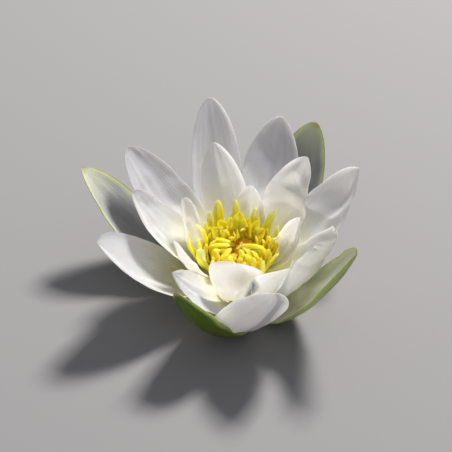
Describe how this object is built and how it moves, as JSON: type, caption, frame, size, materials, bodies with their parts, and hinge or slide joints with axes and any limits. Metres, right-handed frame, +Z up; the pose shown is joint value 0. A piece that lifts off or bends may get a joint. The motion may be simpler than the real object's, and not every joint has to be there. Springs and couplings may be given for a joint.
{
  "type": "water lily flower",
  "caption": "Open white water lily bloom: green-backed sepals and tiers of pointed white petals cupped round golden stamens and a dished stigma, cut just under the flower.",
  "frame": {"origin": "bottom centre of the whole flower's bounding box, on the surface it stands on", "axes": "+Z up along the flower's own axis, out of the open bloom; -Y towards the side the low front petal faces; +X to that viewer's right"},
  "size_m": [0.0994, 0.1034, 0.0464],
  "materials": {
    "petal": "satin",
    "sepal": "satin",
    "stamen": "satin",
    "heart": "satin",
    "stigma": "gloss",
    "stalk": "satin"
  },
  "bodies": {
    "root": {"sepal_left": "sepal", "sepal_back": "sepal", "sepal_right": "sepal", "sepal_front": "sepal", "petal_outer_back": "petal", "petal_outer_back_right": "petal", "petal_outer_left_back": "petal", "petal_outer_right": "petal", "petal_outer_left": "petal", "petal_outer_front": "petal", "petal_outer_front_left": "petal", "petal_outer_front_right": "petal", "petal_middle_back": "petal", "petal_middle_left": "petal", "petal_middle_right": "petal", "petal_middle_front_right": "petal", "petal_inner_front": "petal", "petal_inner_left": "petal", "petal_inner_front_left": "petal", "petal_inner_right": "petal", "petal_inner_back": "petal", "stamen_outer_01": "stamen", "stamen_outer_02": "stamen", "stamen_outer_03": "stamen", "stamen_outer_04": "stamen", "stamen_outer_05": "stamen", "stamen_outer_06": "stamen", "stamen_outer_07": "stamen", "stamen_outer_08": "stamen", "stamen_outer_09": "stamen", "stamen_outer_10": "stamen", "stamen_outer_11": "stamen", "stamen_outer_12": "stamen", "stamen_outer_13": "stamen", "stamen_outer_14": "stamen", "stamen_outer_15": "stamen", "stamen_outer_16": "stamen", "stamen_middle_01": "stamen", "stamen_middle_02": "stamen", "stamen_middle_03": "stamen", "stamen_middle_04": "stamen", "stamen_middle_05": "stamen", "stamen_middle_06": "stamen", "stamen_middle_07": "stamen", "stamen_middle_08": "stamen", "stamen_middle_09": "stamen", "stamen_middle_10": "stamen", "stamen_inner_01": "stamen", "stamen_inner_02": "stamen", "stamen_inner_03": "stamen", "stamen_inner_04": "stamen", "stamen_inner_05": "stamen", "stamen_inner_06": "stamen", "stamen_inner_07": "stamen", "stamen_inner_08": "stamen", "stamen_inner_09": "stamen", "stamen_inner_10": "stamen", "heart": "heart", "stigma": "stigma", "stalk": "stalk"}
  },
  "joints": []
}
